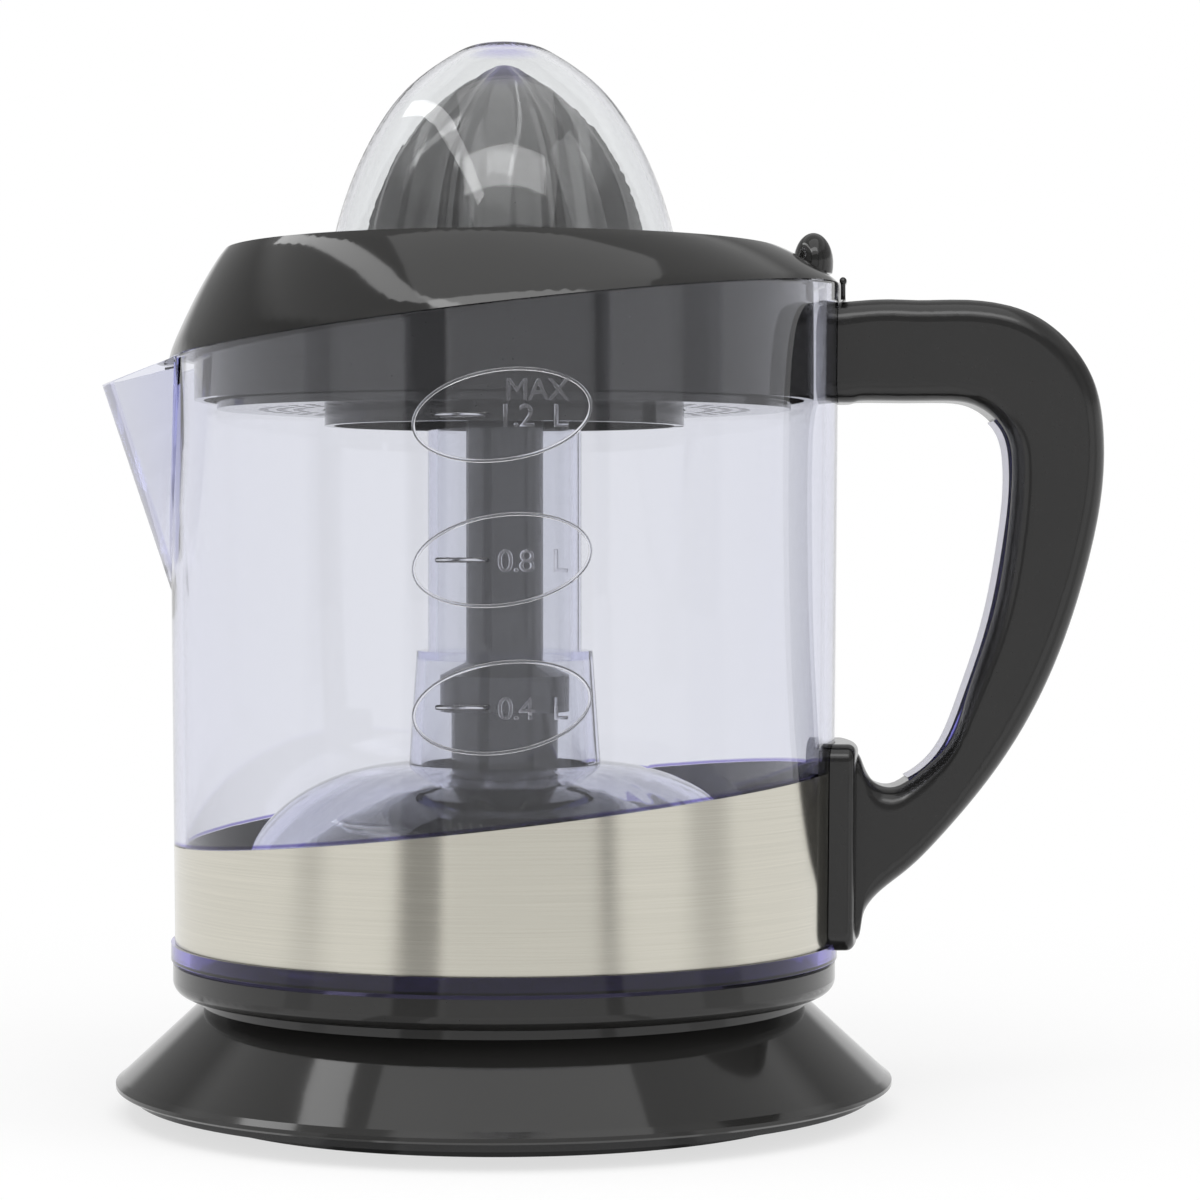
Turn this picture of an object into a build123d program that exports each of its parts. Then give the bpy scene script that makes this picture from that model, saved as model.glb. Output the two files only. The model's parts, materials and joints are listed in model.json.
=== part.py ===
import os
from math import acos, asin, atan2, cos, degrees, hypot, pi, radians, sin, sqrt, tan

from build123d import *

# Millimetres. Z is up from the table, the handle points to +X and the spout to -X.

# Fits
fit_gap = 0.3             # between pieces that lift apart or move past each other
running_gap = 0.05        # shaft in a bush, wheel on its pin
slant = 6.5               # slope of the jar rim and of the band's top edge, falling to the spout
press_travel = 2.5        # how far the reamer is pushed down to start the motor

# Base
foot_height = 0.3         # what the rubber pads stand proud of the foot ring
foot_ring_radius = 67.5
foot_ring_width = 5.5
foot_ring_depth = 3.0
plate_thickness = 2.2
pad_radius = 7.0
pad_circle = 52.0         # circle the pads stand on
rim_radius = 83.1         # widest edge of the skirt
skirt_rise = 16.7         # widest edge up to the neck
neck_inset = 6.4          # jar's foot to the neck under it
neck_rise = 2.2
shell_wall = 2.2
ring_rise = 7.3           # seat ring, neck to jar seat
dome_inset = 12.4         # neck to the hat over the gear train
dome_rise = 29.5
tower_radius = 11.5
tower_rise = 54.5         # jar seat up to the top of the tower
gland_radius = 5.0
cord_radius = 3.3

# Jar
jar_foot_rise = 3.6
jar_radius_rim = 71.6     # outside, at the rim
jar_taper = 1.1           # how much narrower the wall is at the bottom
jar_foot_flare = 0.9      # foot ring beyond the wall
jar_wall = 2.4
jar_rise = 135.3          # seat to the middle of the slanted rim
floor_rise = 13.5         # seat to the inside of the juice trough
trough_gap = 4.4          # hat to the inner edge of the juice trough
column_foot_radius = 20.6
column_foot_rise = 41.1
column_low_radius = 18.9
column_step_rise = 65.4
column_radius = 16.5
column_wall = 2.0
band_rise = 32.4          # seat to the middle of the band's slanted top edge
band_thickness = 0.6
spout_low_rise = 77.0
spout_reach = 15.9        # how far the lip stands out from the wall
spout_half_width = 26.0
spout_tip_radius = 4.0
spout_dip = 15.0          # slope of the lip

# Handle
grip_reach = 56.2         # from the jar's wall to the outside of the grip
grip_width = 22.0
grip_depth = 19.7         # outside to inside, at the widest
grip_bow = 126.0          # radius of the long outer curve of the grip
inner_bow = 140.0         # radius of the long inner curve
corner_outer = 27.7
corner_inner = 12.3
grip_edge = 5.0           # rounding along the grip
arm_rise = 4.9            # top of the upper arm above the middle of the rim
arm_depth = 21.5
bracket_width = 34.0
bracket_thickness = 5.0
bracket_low = 2.2
bracket_high = 45.9
spine_width = 12.0
spine_thickness = 1.2

# Strainer, reamer and dust cover
collar_rise = 15.9        # middle of the rim to the top of the collar
collar_lip = 3.1          # cup to the crest of the collar
collar_fullness = 1.15
collar_wall = 2.2
cup_inset = 10.0          # hanging wall to the inside of the cup
cup_depth = 32.5
skirt_gap = 2.9           # jar's wall to the wall that hangs into it
tab_length = 8.6
tab_width = 12.0
tab_rise = 3.8
disc_inset = 4.8          # hanging wall to the edge of the disc
disc_thickness = 1.8
hole_radius = 1.25
hole_pitch = 6.2
hub_radius = 38.6
hub_drop = 3.4            # hub ring below the strainer disc
seat_flange_radius = 41.6
seat_web = 1.5
reamer_rise = 61.8        # under the reamer's hub to its tip
reamer_radius = 31.5
reamer_ridges = 9
ridge_width = 1.3
flute_depth = 0.17        # share of the ridge radius
reamer_skirt_radius = 36.6
reamer_wall = 2.0
reamer_hub_radius = 13.0
cover_radius = 39.2
cover_rise = 65.7         # height of the cover's domed part
cover_wall = 1.8
cover_headroom = 2.8      # reamer's tip to the inside of the cover

# Drive
shaft_radius = 8.3
bell_radius = 13.9
bell_rise = 7.7
drive_flat = 9.6          # across the flats of the shaft's top end
drive_length = 14.0
spindle_radius = 4.0
spindle_flat = 6.8
spring_wire = 1.0
spring_turns = 5
gear_plate_thickness = 2.0
gear_space = 19.0         # between the two gear plates
motor_share = 0.4         # motor radius as a share of the neck
motor_height = 18.0
module_share = 1 / 65     # tooth size of the output wheel as a share of the neck
module_step = 0.8         # tooth size at the motor, next to the output wheel's
pinion_teeth = 14
wheel_teeth = 44
output_teeth = 45
pressure_angle = 25.0
backlash = 0.16

# Radii that follow
jar_radius_low = jar_radius_rim - jar_taper
jar_foot_radius = jar_radius_low + jar_foot_flare
neck_radius = jar_foot_radius - neck_inset
dome_radius = neck_radius - dome_inset
trough_radius = dome_radius + trough_gap
skirt_radius = jar_radius_rim - jar_wall - skirt_gap
disc_radius = skirt_radius - disc_inset
cup_radius = skirt_radius - cup_inset
collar_mouth = cup_radius + collar_lip
motor_radius = motor_share * neck_radius
motor_offset = neck_radius - shell_wall - 2.3 - motor_radius
module_high = module_share * neck_radius
module_low = module_step * module_high
plate_outline = dome_radius - 0.4
boss_circle = dome_radius - 5.0
cover_outline = dome_radius - 7.0
pillar_circle = dome_radius - 10.0
screw_circle = neck_radius - 8.0

# Heights that follow
plate_low = foot_height + foot_ring_depth
plate_top = plate_low + plate_thickness
rim_height = plate_top + 0.8
neck_height = rim_height + skirt_rise
ring_low = neck_height + neck_rise
seat = ring_low + ring_rise
tower_top = seat + tower_rise
band_low = seat + jar_foot_rise
floor_top = seat + floor_rise
column_foot = seat + column_foot_rise
column_step = seat + column_step_rise
rim_mid = seat + jar_rise
collar_top = rim_mid + collar_rise
disc_top = collar_top - cup_depth
disc_low = disc_top - disc_thickness
web_low = disc_top + fit_gap
web_top = web_low + seat_web
column_top = web_low + 1.5
sleeve_top = web_top + 4.8
washer_low = sleeve_top + press_travel + fit_gap
washer_thickness = 1.2
shoulder = washer_low + washer_thickness
reamer_tip = shoulder + reamer_rise
skirt_low = web_top + press_travel + 0.8
flute_low = skirt_low + 13.7
cover_low = web_top + fit_gap
cover_top = reamer_tip + cover_headroom + cover_wall
gear_plate_top = seat - 4.5
gear_plate_low = gear_plate_top - gear_plate_thickness
gear_cover_low = gear_plate_top + gear_space
bell_low = tower_top - 2.2
bell_top = bell_low + bell_rise
spindle_low = gear_plate_low - 4.5
hub_top = gear_plate_top + 14.0
spring_top = hub_top + 17.0
stage_low = module_low * (pinion_teeth + wheel_teeth) / 2
stage_high = module_high * (pinion_teeth + output_teeth) / 2


def jar_radius(height):
    """Outside radius of the jar's wall at a height."""
    share = (height - seat) / jar_rise
    return jar_radius_low + (jar_radius_rim - jar_radius_low) * share


def lathe(*outline):
    """Solid turned about Z from a closed outline of (radius, height) corners."""
    return revolve(Plane.XZ * make_face(Polyline(*outline, close=True)), Axis.Z)


def lathe_curves(*edges):
    """Solid turned about Z from edges drawn in (radius, height)."""
    return revolve(Plane.XZ * make_face(list(edges)), Axis.Z)


def tube(inner, outer, low, high):
    """Upright ring about Z."""
    return Pos(0, 0, low) * extrude(Circle(outer) - Circle(inner), high - low)


def rod(radius, low, high, x=0, y=0):
    return Pos(x, y, low) * extrude(Circle(radius), high - low)


def block(x0, x1, y0, y1, z0, z1):
    return Pos((x0 + x1) / 2, (y0 + y1) / 2, (z0 + z1) / 2) * Box(x1 - x0, y1 - y0, z1 - z0)


def around(radius, angles):
    """Points on a circle about Z."""
    return [(radius * cos(radians(a)), radius * sin(radians(a))) for a in angles]


def group(solids):
    return Compound(children=[s.solid() for s in solids])


def dome_arc(radius, height, across, rise, sweep_angle=90):
    """Part of an ellipse in (radius, height), from its widest point upwards."""
    return EllipticalCenterArc((radius, height), across, rise, arc_size=sweep_angle)


def below_slope(height, slope, reach=260):
    """Everything under a plane that rises towards +X and crosses Z at a height."""
    drop = reach * tan(radians(slope))
    outline = Polyline(
        (-reach, height - drop), (reach, height + drop), (reach, -reach), (-reach, -reach), close=True
    )
    return extrude(Plane.XZ.offset(-reach) * make_face(outline), 2 * reach)


def wall_solid(inset, low, high):
    """The jar's tapered outside as a full solid, drawn in by an inset."""
    return lathe(
        (0, low), (jar_radius(low) - inset, low), (jar_radius(high) - inset, high), (0, high)
    )


def gear_face(module, teeth, turn=0):
    """Toothed outline with flat-faced involute flanks; a tooth's middle lies at the turn angle."""
    pitch = module * teeth / 2
    base = pitch * cos(radians(pressure_angle))
    tip = pitch + 0.95 * module
    root = pitch - 1.25 * module

    def involute(angle):
        return tan(angle) - angle

    half = pi / (2 * teeth) - backlash / (4 * pitch)

    def lean(radius):
        return half + involute(radians(pressure_angle)) - involute(acos(min(1, base / radius)))

    start = max(base, root)
    radii = [start + (tip - start) * k / 3 for k in range(4)]
    flank = [(root, lean(start))] + [(r, lean(r)) for r in radii]
    if start == root:
        flank = flank[1:]
    corners = []
    for tooth in range(teeth):
        middle = radians(turn) + 2 * pi * tooth / teeth
        corners += [(r, middle - a) for r, a in flank]
        corners += [(r, middle + a) for r, a in reversed(flank)]
    return make_face(Polyline(*[(r * cos(a), r * sin(a)) for r, a in corners], close=True))


def meshed(turn, teeth, line, mate_teeth):
    """Turn of a gear that meshes with a mate set at a turn, along a line of centres."""
    phase = (line - turn) / (360 / teeth)
    return line + 180 - (0.5 - phase) * 360 / mate_teeth


# Places of the gear train
motor_x, motor_y = -motor_offset, 0
gear_angle = 180 - degrees(
    acos((motor_offset**2 + stage_high**2 - stage_low**2) / (2 * motor_offset * stage_high))
)
gear_x, gear_y = around(stage_high, [gear_angle])[0]
motor_line = degrees(atan2(motor_y - gear_y, motor_x - gear_x))
boss_places = around(boss_circle, (30, 95, 230, 300))
screw_places = around(screw_circle, (60, 120, 240, 300))
pillar_places = around(pillar_circle, (85, 205, 320))
pad_places = around(pad_circle, (30, 150, 210, 330))


def build_base_plate():
    plate = rod(rim_radius - 3.8, plate_low, plate_top)
    plate += tube(foot_ring_radius - foot_ring_width, foot_ring_radius, foot_height, plate_low)
    for x, y in pad_places:
        plate += rod(pad_radius + 1.5, foot_height, plate_low, x, y)
        plate -= rod(pad_radius, 0, plate_low - 0.8, x, y)
    for x, y in screw_places:
        plate += rod(5.2, plate_low, plate_top + 1.6, x, y)
        plate -= rod(1.7, 0, plate_top + 2, x, y)
        plate -= rod(3.4, 0, plate_low + 1.2, x, y)
    return plate + block(-4, 16, -4, 4, plate_top, plate_top + 0.8)


def build_rubber_feet():
    return group([rod(pad_radius, 0, plate_low - 0.8, x, y) for x, y in pad_places])


def build_base_skirt():
    slope = (rim_radius - neck_radius) / skirt_rise
    edge = 1.3
    inner = neck_radius - shell_wall
    outline = [
        (rim_radius - 3.4, plate_low + 1.7),
        (rim_radius - 0.7, plate_low + 1.9),
        (rim_radius, rim_height - 0.6),
        (rim_radius, rim_height + 0.2),
        (rim_radius - edge * slope, rim_height + edge),
        (neck_radius, neck_height),
        (neck_radius, ring_low),
        (inner, ring_low),
        (inner, neck_height - shell_wall * 0.4),
        (rim_radius - 5.6, plate_top + 1.5),
        (rim_radius - 5.6, plate_top),
        (rim_radius - 3.4, plate_top),
    ]
    gland_height = rim_height + 0.4 * skirt_rise
    hole = Pos(0, rim_radius, gland_height) * Rot(90, 0, 0) * Cylinder(gland_radius + 0.05, 60)
    return lathe(*outline) - hole


def build_cord_gland():
    gland_height = rim_height + 0.4 * skirt_rise
    reach = rim_radius - 1.0
    flange_at = neck_radius - 2.2
    bush = Rot(-90, 0, 0) * extrude(Circle(gland_radius) - Circle(cord_radius), reach - flange_at)
    flange = Rot(-90, 0, 0) * extrude(Circle(gland_radius + 0.9) - Circle(cord_radius), 1.8)
    return Pos(0, flange_at, gland_height) * (bush + flange)


def build_motor_housing():
    ring = jar_foot_radius - 0.4
    centre = seat + 7.5
    deck_under = seat - shell_wall
    foot = dome_radius + 0.8
    top = sqrt(1 - (tower_radius / dome_radius) ** 2) * dome_rise + centre
    inner_radius, inner_rise = dome_radius - shell_wall, dome_rise - shell_wall
    bore = spindle_radius + 2.5
    inner_top = sqrt(1 - (tower_radius / inner_radius) ** 2) * inner_rise + centre
    start = degrees(atan2((top - centre) / dome_rise, tower_radius / dome_radius))
    inner_start = degrees(atan2((inner_top - centre) / inner_rise, tower_radius / inner_radius))
    shell = lathe_curves(
        Polyline((bore, tower_top), (tower_radius, tower_top), (tower_radius, top)),
        dome_arc(0, centre, dome_radius, dome_rise, start),
        Polyline((dome_radius, centre), (dome_radius, seat + 1.2), (foot, seat)),
        Polyline((foot, seat), (ring - 0.8, seat), (ring, seat - 0.8), (ring, ring_low + 3.0)),
        CenterArc((ring - 3.0, ring_low + 3.0), 3.0, 270, 90),
        Polyline(
            (ring - 3.0, ring_low),
            (neck_radius - shell_wall - 2, ring_low),
            (neck_radius - shell_wall - 2, deck_under),
            (inner_radius, deck_under),
            (inner_radius, centre),
        ),
        dome_arc(0, centre, inner_radius, inner_rise, inner_start),
        Polyline((tower_radius, inner_top), (bore, inner_top), (bore, tower_top)),
    )
    shell -= rod(spindle_radius + 4, tower_top - 3, tower_top + 1)
    cap = lathe_curves(
        dome_arc(0, centre, dome_radius - 0.5, dome_rise - 0.5),
        Polyline((0, centre + dome_rise - 0.5), (0, 0), (dome_radius - 0.5, 0), (dome_radius - 0.5, centre)),
    )
    for x, y in boss_places:
        boss = rod(3.6, gear_plate_top, centre + dome_rise, x, y) & cap
        shell += boss - rod(1.3, gear_plate_top - 1, gear_plate_top + 10, x, y)
    for x, y in screw_places:
        boss = rod(4.2, plate_top + 1.6, seat - 1, x, y)
        shell += boss - rod(1.3, 0, plate_top + 14, x, y)
    return shell


def screws(places, head_low, head_radius, head_height, shank, length, up=True):
    """Pan-head screws with cross slots, pointing up or down from their heads."""
    parts = []
    for x, y in places:
        screw = rod(head_radius, 0, head_height) + rod(shank, head_height, head_height + length)
        slot = Box(head_radius * 1.3, 0.7, 1.2) + Box(0.7, head_radius * 1.3, 1.2)
        screw -= slot
        parts.append(Pos(x, y, head_low) * (screw if up else Rot(180, 0, 0) * screw))
    return group(parts)


def build_base_screws():
    return screws(screw_places, plate_low - 0.8, 3.0, 2.0, 1.3, 12)


def build_plate_screws():
    return screws(boss_places, gear_plate_low - 1.6, 2.8, 1.6, 1.3, 9)


def build_gear_plate():
    plate = rod(plate_outline, gear_plate_low, gear_plate_top)
    plate -= rod(6 + running_gap, 0, seat)
    plate -= rod(2.6, 0, seat, motor_x, motor_y)
    plate -= rod(2, 0, seat, gear_x, gear_y)
    for x, y in boss_places:
        plate -= rod(1.7, 0, seat, x, y)
    for x, y in around(0.71 * plate_outline, (0, 282)):
        plate -= rod(0.17 * plate_outline, 0, seat, x, y)
    return plate


def build_gear_cover():
    high = gear_cover_low + gear_plate_thickness
    cover = rod(cover_outline, gear_cover_low, high)
    cover -= rod(10, 0, seat + 40)
    cover -= rod(1.5 + running_gap, 0, seat + 40, motor_x, motor_y)
    cover -= rod(2, 0, seat + 40, gear_x, gear_y)
    for x, y in boss_places:
        cover -= rod(4.1, gear_cover_low - 1, high + 1, x, y)
    for x, y in pillar_places:
        cover += rod(2.9, gear_plate_top, gear_cover_low, x, y)
    for x, y in around(0.66 * cover_outline, (27, 312)):
        cover -= rod(0.17 * cover_outline, 0, seat + 40, x, y)
    return cover


def build_gear_pin():
    return rod(2, gear_plate_low, gear_cover_low + gear_plate_thickness, gear_x, gear_y)


def build_output_gear():
    teeth = extrude(gear_face(module_high, output_teeth), 6)
    gear = Pos(0, 0, gear_plate_top + 2) * teeth
    gear += rod(8, gear_plate_top + fit_gap, hub_top) + rod(6, gear_plate_low - 0.5, hub_top)
    recess = tube(10, 18.5, gear_plate_top + 6, hub_top)
    flat = RegularPolygon((spindle_flat / 2 + 0.1) / cos(pi / 6), 6)
    return gear - recess - extrude(flat, seat + 40)


def build_second_gear():
    turn = meshed(0, output_teeth, gear_angle, pinion_teeth)
    pinion = extrude(gear_face(module_high, pinion_teeth, turn), 8)
    wheel = extrude(gear_face(module_low, wheel_teeth), 4)
    gear = Pos(0, 0, gear_plate_top + fit_gap + 0.9) * pinion
    gear += Pos(0, 0, gear_plate_top + 9) * wheel
    gear += rod(4, gear_plate_top + fit_gap, gear_cover_low - fit_gap)
    gear -= tube(9, 14.5, gear_plate_top + 11.5, gear_cover_low)
    return Pos(gear_x, gear_y, 0) * (gear - rod(2 + running_gap, 0, seat + 40))


def build_motor_pinion():
    turn = meshed(0, wheel_teeth, motor_line, pinion_teeth)
    pinion = extrude(gear_face(module_low, pinion_teeth, turn), 6) - extrude(Circle(1.5), 6)
    return Pos(motor_x, motor_y, gear_plate_top + 8) * pinion


motor_low = gear_plate_low - motor_height
magnet_radius = 12.5


def build_motor_can():
    can = rod(motor_radius, motor_low, gear_plate_low - 1.5)
    can -= rod(motor_radius - 1.2, motor_low + 1.2, gear_plate_low)
    can += rod(4.5, motor_low, motor_low + 3)
    return Pos(motor_x, motor_y, 0) * (can - rod(1.5 + running_gap, motor_low + 1, gear_plate_low))


def build_motor_lid():
    lid = rod(motor_radius, gear_plate_low - 1.5, gear_plate_low) - rod(2.6, 0, seat)
    return Pos(motor_x, motor_y, 0) * lid


def build_coil_bobbin():
    low, high = motor_low + 1.2, gear_plate_low - 1.5
    bobbin = tube(magnet_radius + 1.5, magnet_radius + 2.5, low, high)
    bobbin += tube(magnet_radius + 1.5, motor_radius - 1.4, low, low + 1)
    bobbin += tube(magnet_radius + 1.5, motor_radius - 1.4, high - 1, high)
    return Pos(motor_x, motor_y, 0) * bobbin


def build_coil_winding():
    low, high = motor_low + 2.2, gear_plate_low - 2.5
    return Pos(motor_x, motor_y, 0) * tube(magnet_radius + 2.5, motor_radius - 2.6, low, high)


def build_stator_claws():
    low, high = motor_low + 1.2, gear_plate_low - 1.5
    claws = tube(magnet_radius + 0.6, magnet_radius + 1.4, low, high)
    for angle in range(0, 180, 30):
        claws -= Pos(0, 0, (low + high) / 2) * Rot(0, 0, angle) * Box(60, 1.4, high - low - 3)
    return Pos(motor_x, motor_y, 0) * claws


def build_rotor_magnet():
    magnet = tube(7, magnet_radius, motor_low + 4, gear_plate_low - 3)
    return Pos(motor_x, motor_y, 0) * magnet


def build_rotor_hub():
    hub = tube(1.5, 7, motor_low + 4, gear_plate_low - 3)
    hub += tube(1.5, 2.3, gear_plate_low - 3, gear_plate_top + 8)
    return Pos(motor_x, motor_y, 0) * hub


def build_rotor_shaft():
    return rod(1.5, motor_low + 1.2, gear_cover_low + gear_plate_thickness, motor_x, motor_y)


def build_spindle():
    flat = RegularPolygon(spindle_flat / 2 / cos(pi / 6), 6)
    low = Pos(0, 0, spindle_low) * extrude(flat, spring_top - spindle_low)
    return low + rod(spindle_radius, spring_top, bell_top + 20)


def build_spindle_clip():
    flat = RegularPolygon(spindle_flat / 2 / cos(pi / 6), 6)
    clip = extrude(Circle(6.4) - flat, 0.8)
    return Pos(0, 0, gear_plate_low - 0.5 - 0.8) * (clip - Pos(4, 0, 0.4) * Box(8, 3, 2))


def build_spring_collar():
    flat = RegularPolygon(spindle_flat / 2 / cos(pi / 6), 6)
    return Pos(0, 0, spring_top - 1.6) * extrude(Circle(7.6) - flat, 1.6)


def build_return_spring():
    low = hub_top + spring_wire / 2 + 0.1
    high = spring_top - 1.6 - spring_wire / 2 - 0.1
    radius = 6.2
    halves = 2 * spring_turns

    def point(step):
        angle = pi * step
        return (radius * cos(angle), radius * sin(angle), low + (high - low) * step / halves)

    arcs = [ThreePointArc(point(k), point(k + 0.5), point(k + 1)) for k in range(halves)]
    path = Wire(arcs)
    section = Plane(path @ 0, z_dir=path % 0) * Circle(spring_wire / 2)
    return sweep(section, path)


def build_spindle_bush():
    low = seat + 38
    return tube(spindle_radius + running_gap, spindle_radius + 2.5, low, tower_top - 3)


def build_shaft_seal():
    return tube(spindle_radius + running_gap, spindle_radius + 4, tower_top - 3, tower_top - 0.2)


def build_start_switch():
    low, high = plate_top + 0.8, spindle_low - fit_gap - press_travel - 1.2
    switch = block(-4, 16, -3.2, 3.2, low, high)
    switch -= rod(1.7, high - press_travel - 2.5, high + 1)
    for x in (0, 6, 12):
        switch += block(x - 0.4, x + 0.4, 3.2, 8.0, low + 2, low + 5)
    return switch


def build_switch_plunger():
    high = spindle_low - fit_gap
    return rod(1.4, high - press_travel - 2.9, high)


def build_drive_shaft():
    roof = tower_top + press_travel + 0.6
    low_bore = tower_radius + 0.9
    shaft = lathe(
        (0, roof),
        (low_bore, roof),
        (low_bore, bell_low),
        (bell_radius, bell_low),
        (bell_radius, bell_top),
        (shaft_radius, bell_top + 2.8),
        (shaft_radius, shoulder),
        (0, shoulder),
    )
    flat = RegularPolygon(drive_flat / 2 / cos(pi / 6), 6)
    shaft += Pos(0, 0, shoulder) * extrude(flat, drive_length)
    return shaft - rod(spindle_radius + 0.02, 0, bell_top + 20.02)


def spout_section(height, reach, half_width, inset):
    """Pointed plan of the spout at a height, with a rounded tip."""
    root = -(jar_radius(height) - 4 - inset)
    tip = -(jar_radius(height) + reach)
    plan = make_face(Polyline((root, half_width), (root, -half_width), (tip, 0), close=True))
    corner = plan.vertices().sort_by(Axis.X)[0]
    return Pos(0, 0, height) * fillet(corner, spout_tip_radius)


def build_jar():
    high = rim_mid + 25
    body = wall_solid(0, seat, high)
    body += rod(jar_foot_radius, seat, band_low)
    spout_low = seat + spout_low_rise
    spout_high = rim_mid
    grow = spout_reach / (rim_mid - 13.5 - spout_low)
    top_reach = grow * (spout_high - spout_low)
    lip = below_slope(rim_mid - 9 + jar_radius_rim * tan(radians(spout_dip)), spout_dip)
    spout = loft(
        [
            spout_section(spout_low, 0.2, 0.72 * spout_half_width, 0),
            spout_section(spout_high, top_reach, spout_half_width, 0),
        ]
    )
    body += spout & lip
    room_low = floor_top
    wall_in = jar_radius(room_low) - jar_wall
    room = lathe_curves(
        Polyline(
            (column_foot_radius, column_foot),
            (column_low_radius, column_step),
            (column_radius, column_step),
            (column_radius, column_top),
            (0, column_top),
            (0, high),
            (jar_radius(high) - jar_wall, high),
            (wall_in, room_low),
            (trough_radius, room_low),
        ),
        dome_arc(column_foot_radius, room_low, trough_radius - column_foot_radius, column_foot - room_low),
    )
    mouth = loft(
        [
            spout_section(spout_low + 4, 0.2 - jar_wall, 0.72 * spout_half_width - 2.5, 3),
            spout_section(high, grow * (high - spout_low) - jar_wall - 0.6, spout_half_width - 2.2, 3),
        ]
    )
    under_top = room_low - jar_wall
    shift = jar_wall
    hollow = lathe_curves(
        Polyline(
            (column_foot_radius - shift, column_foot - shift),
            (column_low_radius - column_wall, column_step - column_wall),
            (column_radius - column_wall, column_step - column_wall),
            (column_radius - column_wall, high),
            (0, high),
            (0, seat - 1),
            (jar_radius(seat) - jar_wall - band_thickness, seat - 1),
            (jar_radius(seat) - jar_wall - band_thickness, under_top),
            (trough_radius - shift, under_top),
        ),
        dome_arc(
            column_foot_radius - shift, under_top, trough_radius - column_foot_radius, column_foot - room_low
        ),
    )
    recess = wall_solid(-3, band_low, high) - wall_solid(band_thickness + 0.05, band_low, high)
    recess &= below_slope(seat + band_rise, slant)
    body = body - room - mouth - hollow - recess
    return body & below_slope(rim_mid, slant)


def build_steel_band():
    high = rim_mid
    band = wall_solid(0, band_low + 0.05, high) - wall_solid(band_thickness, band_low - 1, high + 1)
    return band & below_slope(seat + band_rise - 0.06, slant)


def grip_stations():
    """Outer and inner points of the grip in (X, Z), from the upper arm down to the bracket."""
    wall = jar_radius_rim
    top = rim_mid + arm_rise
    under = top - arm_depth
    outside = wall + grip_reach
    inside = outside - grip_depth

    def arc(centre_x, centre_z, radius, angle):
        return (centre_x + radius * cos(radians(angle)), centre_z + radius * sin(radians(angle)))

    arm_outer = outside - corner_outer - wall + 6
    arm_inner = inside - corner_inner - wall + 6
    stations = [
        ((wall - 6 + share * arm_outer, top), (wall - 6 + share * arm_inner, under))
        for share in (0, 1 / 3, 2 / 3)
    ]
    for angle in (90, 66, 43, 21, 0):
        stations.append(
            (
                arc(outside - corner_outer, top - corner_outer, corner_outer, angle),
                arc(inside - corner_inner, under - corner_inner, corner_inner, angle),
            )
        )
    for share in (0.28, 0.56, 0.82, 1):
        stations.append(
            (
                arc(outside - grip_bow, top - corner_outer, grip_bow, -share * 44),
                arc(inside - inner_bow, under - corner_inner, inner_bow, -share * 26.4),
            )
        )
    low = seat + bracket_low
    high = seat + bracket_high
    stations += [
        ((wall + 13.2, low + 15.5), (wall + 14.8, high - 8.0)),
        ((wall + 8.0, low + 11.3), (wall + 10.8, high - 9.6)),
        ((wall + 5.2, low + 7.4), (wall + 7.2, high - 8.2)),
        ((wall + 4.4, low + 3.4), (wall + 5.0, high - 4.4)),
        ((wall + 2.4, low + 1.0), (wall + 2.4, high - 1.4)),
    ]
    return stations


def grip_section(outer, inner):
    """Rounded section of the grip across its outer and inner points."""
    length = hypot(outer[0] - inner[0], outer[1] - inner[1])
    along = ((outer[0] - inner[0]) / length, 0, (outer[1] - inner[1]) / length)
    middle = ((outer[0] + inner[0]) / 2, 0, (outer[1] + inner[1]) / 2)
    plane = Plane(middle, x_dir=along, z_dir=(-along[2], 0, along[0]))
    return plane * RectangleRounded(length, grip_width, grip_edge)


def spine_solid(width, thickness):
    """Strip that follows the inside of the grip."""
    path = Spline(*[(x, 0, z) for x, z in [inner for outer, inner in grip_stations()][5:13]])
    plane = Plane(path @ 0, x_dir=(0, 1, 0), z_dir=path % 0)
    return sweep(plane * Rectangle(width, thickness), path)


def build_handle():
    low = seat + bracket_low
    high = seat + bracket_high
    grip = loft([grip_section(outer, inner) for outer, inner in grip_stations()])
    grip -= wall_solid(-0.1, low - 30, rim_mid + 40)
    grip -= spine_solid(spine_width + 0.2, spine_thickness)
    foot_room = rod(jar_foot_radius + 0.1, seat - 1, band_low + 0.1)
    plate = wall_solid(-bracket_thickness, low, high) - wall_solid(-0.1, low - 1, high + 1)
    plate &= block(0, 120, -bracket_width / 2, bracket_width / 2, low, high)
    plate = fillet(plate.edges().filter_by(Axis.X), 4)
    face = plate.faces().sort_by(lambda f: f.center().X)[-1]
    plate = fillet(face.edges(), 1.8)
    return (grip - foot_room) + (plate - foot_room)


def build_handle_spine():
    return spine_solid(spine_width, spine_thickness - 0.1)


def collar_section(share, inset):
    """Tilted ring of the collar: level at the crest, along the jar's rim at the bottom."""
    bulge = (1 - (1 - share) ** collar_fullness) ** (1 / collar_fullness)
    mouth = collar_mouth - inset * 0.2
    radius = mouth + (jar_radius_rim - inset - mouth) * bulge
    height = collar_top - inset - (collar_top - inset - rim_mid - fit_gap) * share
    slope = tan(radians(slant)) * share * jar_radius_rim / radius
    plane = Plane((0, 0, height), x_dir=(1, 0, slope), z_dir=(-slope, 0, 1))
    return plane * Ellipse(radius * sqrt(1 + slope * slope), radius)


def collar_solid(inset):
    shares = (0.012, 0.05, 0.13, 0.27, 0.46, 0.7, 1.0)
    return loft([collar_section(s, inset) for s in shares])


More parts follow.
